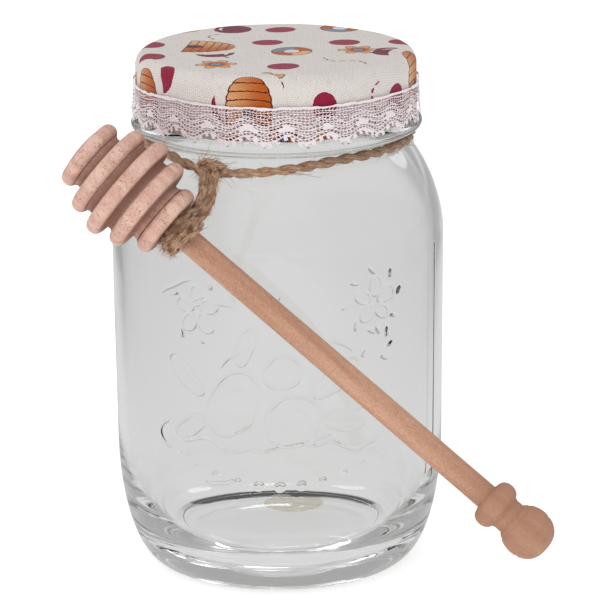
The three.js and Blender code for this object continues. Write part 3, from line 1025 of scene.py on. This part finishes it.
def oval_rise(oval, along, height):
    """How far one oval makes the glass stand out at a place."""
    x, z, length, width, turn, kind = oval
    half_length, half_width = length / 2, width / 2
    dx, dz = along - x, height - z
    if max(abs(dx), abs(dz)) > half_length + 2 * OUTLINE_WIDTH:
        return 0
    angle = radians(turn)
    lengthwise = (dx * cos(angle) + dz * sin(angle)) / half_length
    crosswise = (dz * cos(angle) - dx * sin(angle)) / half_width
    edge = hypot(lengthwise, crosswise)
    if kind in ("stroke", "bead"):
        rise = STROKE_RISE if kind == "stroke" else INNER_RISE * 1.4
        return rise * smooth_step(2 * (1 - edge))
    away = hypot(dx, dz) * abs(1 - 1 / max(edge, 0.05))
    rise = hump(away, OUTLINE_WIDTH, OUTLINE_RISE)
    if edge < 1:
        rise = max(rise, INNER_RISE * smooth_step(3 * (1 - edge)))
        if kind == "leaf":
            rise += hump(crosswise * half_width, OUTLINE_WIDTH * 0.8, INNER_RISE)
        if kind == "fruit":
            rise += hump(edge - 0.45, 0.09, INNER_RISE) * smooth_step(lengthwise * 3)
    return rise


def tendril_rise(tendril, along, height):
    x, z, radius, first, last = tendril
    dx, dz = along - x, height - z
    reach = hypot(dx, dz)
    if abs(reach - radius) > 3 * OUTLINE_WIDTH:
        return 0
    angle = degrees(atan2(dz, dx)) % 360
    fading = smooth_step((angle - first) / 12) * smooth_step((last - angle) / 12)
    return hump(reach - radius, OUTLINE_WIDTH, OUTLINE_RISE) * fading


def line_rise(along, height):
    if abs(along) > LINE_HALF_LENGTH:
        return 0
    middle = LINE_HEIGHT + sum(size * sin(along / length) for size, length in LINE_WAVES)
    fading = smooth_step((LINE_HALF_LENGTH - abs(along)) / 5)
    return hump(height - middle, LINE_WIDTH, LINE_RISE) * fading


def relief_rise(ovals, along, height):
    """How far the glass stands out at a place on the front."""
    seam = hump(along - SEAM_ALONG, SEAM_WIDTH, SEAM_RISE)
    if abs(along) > radians(RELIEF_HALF_ANGLE) * BODY_RADIUS:
        return seam
    spot = Vector((along * 0.16, height * 0.16, 0))
    along += RELIEF_WOBBLE * noise.noise(spot)
    height += RELIEF_WOBBLE * noise.noise(spot + Vector((0, 0, 7)))
    rises = [oval_rise(oval, along, height) for oval in ovals]
    rises += [tendril_rise(tendril, along, height) for tendril in TENDRILS]
    rises.append(line_rise(along, height))
    return max(rises)


def raise_relief(piece):
    """Cuts the outer wall finely where its motifs are and raises them."""
    ovals = relief_ovals()
    near = [(dx, dz) for dx in (-RELIEF_REACH, 0, RELIEF_REACH) for dz in (-RELIEF_REACH, 0, RELIEF_REACH)]
    chosen = []
    for face in piece.data.polygons:
        place = face.center / MM
        along = atan2(place.x, -place.y) * BODY_RADIUS
        outside = hypot(place.x, place.y) > BODY_RADIUS - WALL / 2
        if not outside or place.y >= 0 or not RELIEF_LOW < place.z < RELIEF_HIGH:
            continue
        if any(relief_rise(ovals, along + dx, place.z + dz) > 0.01 for dx, dz in near):
            chosen.append(face.index)
    select_parts(piece, chosen)
    bpy.ops.mesh.subdivide(number_cuts=RELIEF_CUTS)
    leave_parts()

    def mover(place):
        radius = hypot(place.x, place.y)
        if place.y > 0 or not RELIEF_LOW < place.z < RELIEF_HIGH or radius < BODY_RADIUS - WALL / 2:
            return place
        along = atan2(place.x, -place.y) * BODY_RADIUS
        grown = (body_radius_at(place.z) + relief_rise(ovals, along, place.z)) / radius
        return Vector((place.x * grown, place.y * grown, place.z))

    move_points(piece, mover)


def roughen_floor(place):
    """The mould's double mark round the bowl inside, and a floor that isn't quite even."""
    radius = hypot(place.x, place.y)
    if not FLOOR_HEIGHT / 2 < place.z < FLOOR_TOP or radius > body_radius_at(place.z) - WALL / 2:
        return place
    angle = atan2(place.y, place.x)
    ring = ring_way(angle)
    mark_radius = MARK_RADIUS + MARK_BACK * max(0, ring.y) ** 2
    mark_radius += MARK_WANDER * (noise.noise(ring * 1.7 + Vector((0, 0, 4))) + 0.4 * noise.noise(ring * 9))
    slope = Vector((radius - mark_radius, place.z - floor_height_at(mark_radius)))
    away = copysign(slope.length, slope.x)
    ridge = hump(away, MARK_WIDTH, MARK_RISE) - hump(away - MARK_GAP, MARK_WIDTH, MARK_RISE * 0.5)
    dimple = FLOOR_UNEVENNESS * (noise.noise(place * 0.11) + 0.3 * noise.noise(place * 0.3))
    fading = 1 - smooth_step((place.z - FLOOR_TOP * 0.6) / (FLOOR_TOP * 0.4))
    rise = (ridge + dimple) * fading
    lean = min(1, (radius / (BODY_RADIUS - WALL)) ** FLOOR_POWER * 2)
    return place + Vector((0, 0, rise * (1 - lean * 0.5))) - ring * rise * lean * 0.7


def build_jar(material):
    piece = draw_profile("glass_jar", jar_outside() + jar_inside())
    spin_profile(piece, JAR_SPIN_STEPS)
    raise_relief(piece)
    move_points(piece, roughen_floor)
    shade_smooth(piece)
    return put_in_place(piece, material, "glass", "jar")


# Fabric cover


def cover_profile():
    centre = COVER_RADIUS - COVER_ROUNDING
    top = [(r, COVER_TOP) for r in spaced(0, centre, 34)]
    turn = arc_points(centre, COVER_TOP - COVER_ROUNDING, COVER_ROUNDING, COVER_ROUNDING, 90, 0, 10)
    side = [(COVER_RADIUS, height) for height in spaced(COVER_TOP - COVER_ROUNDING, COVER_BOTTOM, 26)]
    hem = [(COVER_RADIUS - HEM_WIDTH * share, COVER_BOTTOM - HEM_DROP * share) for share in spaced(0, 1, 3)]
    return top + turn[1:] + side[1:] + hem[1:]


def flat_map(piece):
    """A UV map, in metres, of the cloth laid flat, measured outwards from its middle."""
    layer = piece.data.uv_layers.new(name="flat")
    centre = (COVER_RADIUS - COVER_ROUNDING) * MM
    arc = COVER_ROUNDING * MM
    for loop in piece.data.loops:
        place = piece.data.vertices[loop.vertex_index].co
        radius = hypot(place.x, place.y)
        down = COVER_TOP * MM - place.z
        if radius <= centre:
            reach = radius
        elif down < arc:
            reach = centre + arc * atan2(radius - centre, max(1e-6, arc - down))
        else:
            reach = centre + arc * pi / 2 + (down - arc)
        share = reach / radius if radius > 1e-6 else 0
        layer.data[loop.index].uv = (place.x * share, place.y * share)


def wrinkle_cover(piece):
    """Small pulls and folds in the skirt, a soft top, and a hem that isn't quite level."""
    def mover(place):
        radius = hypot(place.x, place.y)
        if radius < 0.01:
            return place
        angle = atan2(place.y, place.x)
        down = smooth_step((COVER_TOP - 2 - place.z) / (COVER_TOP - COVER_BOTTOM))
        ring = ring_way(angle)
        folds = bumpiness(ring.x * 9, ring.y * 9, place.z * 0.05)
        pulls = bumpiness(ring.x * 26, ring.y * 26, place.z * 0.12 + angle)
        puff = bumpiness(place.x * 0.06, place.y * 0.06, 3)
        creases = 1 - abs(bumpiness(angle * 2.6, place.z * 0.16 + angle * 1.3, 2)) * 5
        out = down * (0.34 * folds + 0.22 * pulls + 0.16 * max(0, creases))
        rise = 0.16 * puff * (1 - down) - 0.1 * smooth_step(radius / COVER_RADIUS)
        hem = 0.35 * bumpiness(ring.x * 3, ring.y * 3, 8) * down
        return place + ring * out + Vector((0, 0, rise + hem))

    move_points(piece, mover)


def build_cover(material):
    piece = draw_profile("fabric_cover", cover_profile())
    spin_profile(piece, COVER_SPIN_STEPS)
    flat_map(piece)
    wrinkle_cover(piece)
    apply_modifier(piece, "SOLIDIFY", thickness=CLOTH_THICKNESS * MM, offset=-1)
    shade_smooth(piece)
    return put_in_place(piece, material, "cover_fabric", "cover")


# Lace


def lace_hole_border(along, up):
    """How much thread is left round a hole, as a share of the half cell; None leaves the cloth whole.
    along counts scallops round the cover, and up runs from the lower edge at 0 to the top at 1."""
    if up > 0.93:
        return None
    across = 2 * (along % 1) - 1
    drift = bumpiness(along * 0.9, 0, 3)
    wave = 0.56 + (0.1 + 0.1 * drift) * cos(pi * across + 2 * drift)
    if abs(up - wave) < 0.04:
        return 0.55
    leaf = hypot((across - 0.5 * drift) * 1.6, (up - 0.3) * 5)
    if leaf < 0.55:
        return None
    loose = bumpiness(along * 9, up * 8, 1)
    if up < 0.09:
        return None if loose < 0.1 else 0.6
    if up > wave:
        return 0.22 if loose < 0.05 else 0.32
    return 0.3 if loose < -0.15 else 0.44


def open_lace_holes(piece):
    """Insets each cell of the lace by its own border and takes its middle out."""
    cell = min(LACE_CELL, LACE_HEIGHT / LACE_ROWS)
    borders = {}
    for face in piece.data.polygons:
        place = face.center / MM
        up = place.z / LACE_HEIGHT + 0.5
        if up > 0:
            borders[face.index] = lace_hole_border(place.x * SCALLOPS / LACE_LENGTH, up)
    for border in sorted({value for value in borders.values() if value is not None}):
        select_parts(piece, [index for index, value in borders.items() if value == border])
        bpy.ops.mesh.inset(thickness=border * cell / 2 * MM, use_individual=True)
        leave_parts()
        chosen = {face.index for face in piece.data.polygons if face.select}
        for index in list(borders):
            if borders[index] == border and index in chosen:
                borders[index] = "open"
    select_parts(piece, [index for index, value in borders.items() if value == "open"])
    bpy.ops.mesh.delete(type="FACE")
    leave_parts()


def flat_lace():
    """The whole trim, made flat before it goes round the cover."""
    deselect_all()
    bpy.ops.mesh.primitive_grid_add(x_subdivisions=LACE_COLUMNS * SCALLOPS, y_subdivisions=LACE_ROWS, size=1,
                                    rotation=(pi / 2, 0, 0))
    piece = bpy.context.object
    piece.name = "lace_trim"
    piece.scale = (LACE_LENGTH * MM, LACE_HEIGHT * MM, 1)
    bpy.ops.object.transform_apply(location=True, rotation=True, scale=True)
    extrude_picots(piece)
    open_lace_holes(piece)

    def mover(place):
        share = 0.5 - place.z / LACE_HEIGHT
        scallop = place.x * SCALLOPS / LACE_LENGTH
        drop = SCALLOP_DROP * cos(tau * scallop) * max(0, share)
        row = floor(share * LACE_ROWS + 0.5)
        fade = smooth_step((LACE_LENGTH / 2 - abs(place.x)) / 2)
        zigzag = LACE_CELL * 0.24 * (1 if row % 2 else -1) * fade
        uneven = noise.noise_vector(Vector((scallop * 5, 0, share * 9))) * LACE_UNEVENNESS * fade
        return place + Vector((zigzag + uneven.x, 0, uneven.z - drop))

    move_points(piece, mover)
    return piece


def extrude_picots(piece):
    """Short teeth on every other cell of the lower edge."""
    chosen = []
    for edge in piece.data.edges:
        ends = [piece.data.vertices[index].co / MM for index in edge.vertices]
        column = floor((ends[0].x + ends[1].x) / 2 / LACE_CELL + LACE_COLUMNS / 2)
        if all(abs(end.z + LACE_HEIGHT / 2) < 0.001 for end in ends) and column % 2 == 0:
            chosen.append(edge.index)
    select_parts(piece, chosen, "EDGE")
    bpy.ops.mesh.extrude_region_move(TRANSFORM_OT_translate={"value": (0, 0, -PICOT_LENGTH * MM)})
    leave_parts()


def build_lace(material):
    piece = flat_lace()

    def mover(place):
        angle = place.x / LACE_RADIUS
        down = 0.5 - place.z / LACE_HEIGHT
        ring = ring_way(angle)
        sway = noise.noise(ring * 5 + Vector((0, 0, place.z * 0.08)))
        pucker = noise.noise(ring * 17 + Vector((0, 0, place.z * 0.2)))
        waver = 0.6 * noise.noise(ring * 2.2 + Vector((0, 0, 5))) + 0.35 * noise.noise(ring * 7)
        radius = LACE_RADIUS + 0.15 + down * (0.3 + 0.5 * sway) + 0.25 * pucker * (0.3 + down)
        level = (LACE_TOP + LACE_BOTTOM) / 2 + place.z + waver + 0.25 * pucker * down
        return Vector((radius * cos(angle), radius * sin(angle), level))

    move_points(piece, mover)
    tidy_surface(piece)
    shade_smooth(piece)
    return put_in_place(piece, material, "lace_thread", "lace")


# Jute twine


def twine_point(degrees):
    """The middle of the neck twine at an angle from the front, in degrees towards the right."""
    away = degrees - KNOT_ANGLE
    away = away - 360 if away > 180 else away
    reach = DIP_RIGHT if away > 0 else DIP_LEFT
    dip = 0.5 + 0.5 * cos(pi * min(1, abs(away) / reach))
    place = TWINE_HIGH + (TWINE_LOW - TWINE_HIGH) * dip
    here, there = shoulder_point(place), shoulder_point(place + 0.001)
    slope = Vector((there[0] - here[0], there[1] - here[1])).normalized()
    lift = TWINE_RADIUS + 0.2
    radius = here[0] + slope.y * lift
    height = here[1] - slope.x * lift
    angle = radians(degrees)
    return Vector((radius * sin(angle), -radius * cos(angle), height))


ACROSS_DIPPER = Vector((0, 0, 1)).cross(DIPPER_DIRECTION).normalized()
ABOVE_DIPPER = DIPPER_DIRECTION.cross(ACROSS_DIPPER)


def dipper_point(place, radius, degrees):
    angle = radians(degrees)
    sideways = ACROSS_DIPPER * cos(angle) + ABOVE_DIPPER * sin(angle)
    return DIPPER_HEAD + DIPPER_DIRECTION * place + sideways * radius


def smooth_path(points, step):
    """Points every step millimetres along a smooth curve through the given ones."""
    made = []
    for i in range(len(points) - 1):
        before = points[max(0, i - 1)]
        start, end = points[i], points[i + 1]
        after = points[min(len(points) - 1, i + 2)]
        count = max(1, round((end - start).length / step))
        for k in range(count):
            t = k / count
            made.append(0.5 * ((2 * start) + (end - before) * t
                               + (2 * before - 5 * start + 4 * end - after) * t ** 2
                               + (3 * start - before - 3 * end + after) * t ** 3))
    made.append(points[-1])
    return made


def path_frames(points):
    """Two directions across the path at each of its points, carried along without twisting."""
    frames = []
    side = None
    for i in range(len(points)):
        along = (points[min(i + 1, len(points) - 1)] - points[max(i - 1, 0)]).normalized()
        if side is None:
            side = along.orthogonal().normalized()
        side = (side - along * side.dot(along)).normalized()
        frames.append((side, along.cross(side)))
    return frames


def start_curve(name, resolution):
    curve = bpy.data.curves.new(name, "CURVE")
    curve.dimensions = "3D"
    curve.bevel_depth = MM
    curve.bevel_resolution = resolution
    return curve


def add_strand(curve, places, radii):
    spline = curve.splines.new("POLY")
    spline.points.add(len(places) - 1)
    for spot, place, radius in zip(spline.points, places, radii):
        spot.co = (*(place * MM), 1)
        spot.radius = radius


def curve_to_mesh(name, curve):
    piece = bpy.data.objects.new(name, curve)
    bpy.context.collection.objects.link(piece)
    make_active(piece)
    bpy.ops.object.convert(target="MESH")
    return bpy.context.object


def ply_strand(places, radii):
    """A round ply along the places. Its UV map's first way is in millimetres."""
    curve = start_curve("neck_twine", 2)
    curve.use_fill_caps = True
    add_strand(curve, places, radii)
    strand = curve_to_mesh("neck_twine", curve)
    length = sum((after - before).length for before, after in zip(places, places[1:]))
    for corner in strand.data.uv_layers[0].data:
        corner.uv = (corner.uv.x * length, corner.uv.y)
    return strand


def twisted_twine(path, phase):
    """Plies twisted round each other along the path, each a little uneven."""
    points = smooth_path(path, 0.55)
    frames = path_frames(points)
    strands = []
    for ply in range(PLIES):
        travelled = 0
        middles, radii = [], []
        for i, (point, (side, other)) in enumerate(zip(points, frames)):
            if i:
                travelled += (point - points[i - 1]).length
            turn = phase + tau * (travelled / PLY_PITCH + ply / PLIES)
            lumps = bumpiness(travelled * 0.23, ply * 7 + phase, len(path))
            middles.append(point + (side * cos(turn) + other * sin(turn)) * PLY_OFFSET)
            radii.append(PLY_RADIUS * (1 + 0.22 * lumps))
        strands.append(ply_strand(middles, radii))
    return strands, points


def loose_fibres(paths, count):
    """Short hairs standing off the twine, each a thin curved strand. The first path is the neck's."""
    curve = start_curve("twine_fibres", 0)
    lengths = [len(path) * (1 if path is paths[0] else 9) for path in paths]
    for path in random.choices(paths, weights=lengths, k=count):
        i = random.randrange(1, len(path) - 1)
        along = (path[i + 1] - path[i - 1]).normalized()
        out = Vector([random.gauss(0, 1) for _ in range(3)])
        out = (out - along * out.dot(along)).normalized()
        if out.dot(Vector((path[i].x, path[i].y, 0))) < 0:
            out = -out
        start = path[i] + out * TWINE_RADIUS * 0.7
        length = random.triangular(0.8, 6.5, 1.8)
        lean = along * random.choice((-1, 1)) * random.uniform(0.4, 3.2)
        curl = Vector([random.gauss(0, 0.35) for _ in range(3)])
        shares = spaced(0, 1, 4)
        places = [start + (out * (1 - 0.4 * t) + lean + curl * t) * length * t * 0.4 for t in shares]
        add_strand(curve, places, [0.09 * (1 - 0.6 * t) for t in shares])
    return curve_to_mesh("twine_fibres", curve)


def knot_path():
    """A tight overhand knot round its centre."""
    out = Vector((sin(radians(KNOT_ANGLE)), -cos(radians(KNOT_ANGLE)), 0))
    side = Vector((-out.y, out.x, 0))
    points = []
    for turn in spaced(0, tau, 30):
        x = sin(turn) + 2 * sin(2 * turn)
        y = cos(turn) - 2 * cos(2 * turn)
        depth = -sin(3 * turn)
        points.append(KNOT_CENTRE + (side * x + Vector((0, 0, 1)) * y * 0.9) * KNOT_REACH + out * depth * 1.3)
    return points


def tie_paths():
    """Two strands from the knot down to the wraps."""
    paths = []
    for side in (-1, 1):
        start = KNOT_CENTRE + Vector((1.3 * side - 0.4, -0.6, -1.5))
        middle = dipper_point(WRAP_PLACE + 1.7 + 1.4 * side, 10.8, 66)
        end = dipper_point(WRAP_PLACE + 1.5 + 1.3 * side, WRAP_RADIUS, 80)
        paths.append([start, middle, end])
    return paths


def wrap_path():
    return [dipper_point(WRAP_PLACE + WRAP_PITCH * turns, WRAP_RADIUS, 90 + turns * 360)
            for turns in spaced(0, WRAP_TURNS, 27)]


def build_twine(material):
    loop = [twine_point(KNOT_ANGLE + 1 + share * 358) for share in spaced(0, 1, 64)]
    strands, paths = [], []
    for i, path in enumerate([loop, knot_path(), *tie_paths(), wrap_path()]):
        made, points = twisted_twine(path, i * 1.3)
        strands += made
        paths.append(points)
    piece = join_pieces("neck_twine", strands)
    shade_smooth(piece)
    put_in_place(piece, material, "jute", "twine")
    hairs = loose_fibres(paths, FIBRES)
    shade_smooth(hairs)
    put_in_place(hairs, jute_hair(), "jute", "twine")


# Wooden dipper


def disc_rim(place, radius):
    half = DISC_THICKNESS / 2
    rim = []
    for turn in spaced(-pi / 2, pi / 2, 14):
        out = max(0, cos(turn)) ** (2 / DISC_FULLNESS)
        along = copysign(abs(sin(turn)) ** (2 / DISC_FULLNESS), turn)
        rim.append((radius - DISC_CORNER + DISC_CORNER * out, place + half * along))
    return rim


def dipper_profile():
    """The turned outline as (radius, distance from the head's tip)."""
    half = DISC_THICKNESS / 2
    tip = FIRST_DISC - half
    first_flat = DISC_RADII[0] - DISC_CORNER
    points = [(first_flat * share, tip - HEAD_DOME * (1 - share ** 2)) for share in spaced(0, 0.96, 8)]
    for i, radius in enumerate(DISC_RADII):
        place = FIRST_DISC + i * DISC_PITCH
        points += disc_rim(place, radius)
        if i < len(CORE_RADII):
            middle = place + DISC_PITCH / 2
            groove = (DISC_PITCH - DISC_THICKNESS) / 2 - 0.1
            points += [(CORE_RADII[i] + 0.5, middle - groove), (CORE_RADII[i], middle - groove * 0.5)]
            points += [(CORE_RADII[i], middle + groove * 0.5), (CORE_RADII[i] + 0.5, middle + groove)]
    head_end = FIRST_DISC + (len(DISC_RADII) - 1) * DISC_PITCH + half
    points += [(HANDLE_RADIUS_HEAD + 1.2, head_end), (HANDLE_RADIUS_HEAD + 0.3, head_end + 0.3)]
    handle_end = COLLAR_PLACE - COLLAR_HALF_LENGTH
    for share in spaced(0, 1, 24):
        radius = HANDLE_RADIUS_HEAD + (HANDLE_RADIUS_KNOB - HANDLE_RADIUS_HEAD) * share
        points.append((radius, head_end + 1.0 + (handle_end - head_end - 1.4) * share))
    points += arc_points(KNOB_NECK_RADIUS, COLLAR_PLACE, COLLAR_RADIUS - KNOB_NECK_RADIUS,
                         COLLAR_HALF_LENGTH, -80, 80, 14)
    points.append((KNOB_NECK_RADIUS, KNOB_NECK_PLACE))
    for turn in spaced(0.2 * pi, pi, 60):
        bulge = max(0, sin(turn)) ** KNOB_FULLNESS
        points.append((KNOB_RADIUS * bulge, KNOB_PLACE - KNOB_HALF_LENGTH * cos(turn)))
    for i, (radius, place) in enumerate(points):
        if place > KNOB_NECK_PLACE:
            scored = sum(hump(place - line, SCORE_WIDTH, SCORE_DEPTH) for line in SCORED_LINES)
            points[i] = (max(0, radius - scored), place)
    return points


def mark_wood(piece):
    """Notes on each point how deep it lies between the head's discs, where the wood is darkened partly by its
    own colour and partly by painted shade, and whether it is on the head or near the knob."""
    groove_shades = piece.data.attributes.new("groove", "FLOAT", "POINT")
    heads = piece.data.attributes.new("head", "FLOAT", "POINT")
    knobs = piece.data.attributes.new("knob", "FLOAT", "POINT")
    head_end = FIRST_DISC + (len(DISC_RADII) - 1) * DISC_PITCH + DISC_THICKNESS / 2
    for point in piece.data.vertices:
        place = point.co / MM
        radius = hypot(place.x, place.y)
        knobs.data[point.index].value = smooth_step((place.z - COLLAR_PLACE + 20) / 20)
        if place.z > head_end + 0.1:
            continue
        disc = min(len(DISC_RADII) - 1, max(0, round((place.z - FIRST_DISC) / DISC_PITCH)))
        groove_shades.data[point.index].value = smooth_step((DISC_RADII[disc] - radius - 0.6) / 3)
        heads.data[point.index].value = 1


def build_dipper(material):
    piece = draw_profile("honey_dipper", dipper_profile())
    spin_profile(piece, DIPPER_SPIN_STEPS)
    mark_wood(piece)
    turned = Vector((0, 0, 1)).rotation_difference(DIPPER_DIRECTION)
    piece.rotation_mode = "QUATERNION"
    piece.rotation_quaternion = turned
    piece.location = DIPPER_HEAD * MM
    make_active(piece)
    bpy.ops.object.transform_apply(location=True, rotation=True, scale=True)
    shade_smooth(piece, 50)
    return put_in_place(piece, material, "beech", "dipper")


# The whole

make_camera()
make_world()
make_floor()
make_lamp("key_lamp", (-0.9, -1.1, 1.5), 1.0, 9.4)
make_lamp("fill_lamp", (1.3, -0.7, 0.9), 1.2, 2.1)

build_jar(clear_glass())
cover = build_cover(printed_cotton())
lace = build_lace(lace_thread())
build_twine(jute())
build_dipper(beech())

for node_name, material in (("lid", gold_lacquer()), ("sticker", sticker_paper())):
    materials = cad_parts[node_name].data.materials
    materials.clear()
    materials.append(material)

bpy.context.scene.view_settings.view_transform = "Standard"
light_paths = bpy.context.scene.cycles
light_paths.max_bounces = LIGHT_BOUNCES
light_paths.transmission_bounces = LIGHT_BOUNCES
light_paths.glossy_bounces = LIGHT_BOUNCES
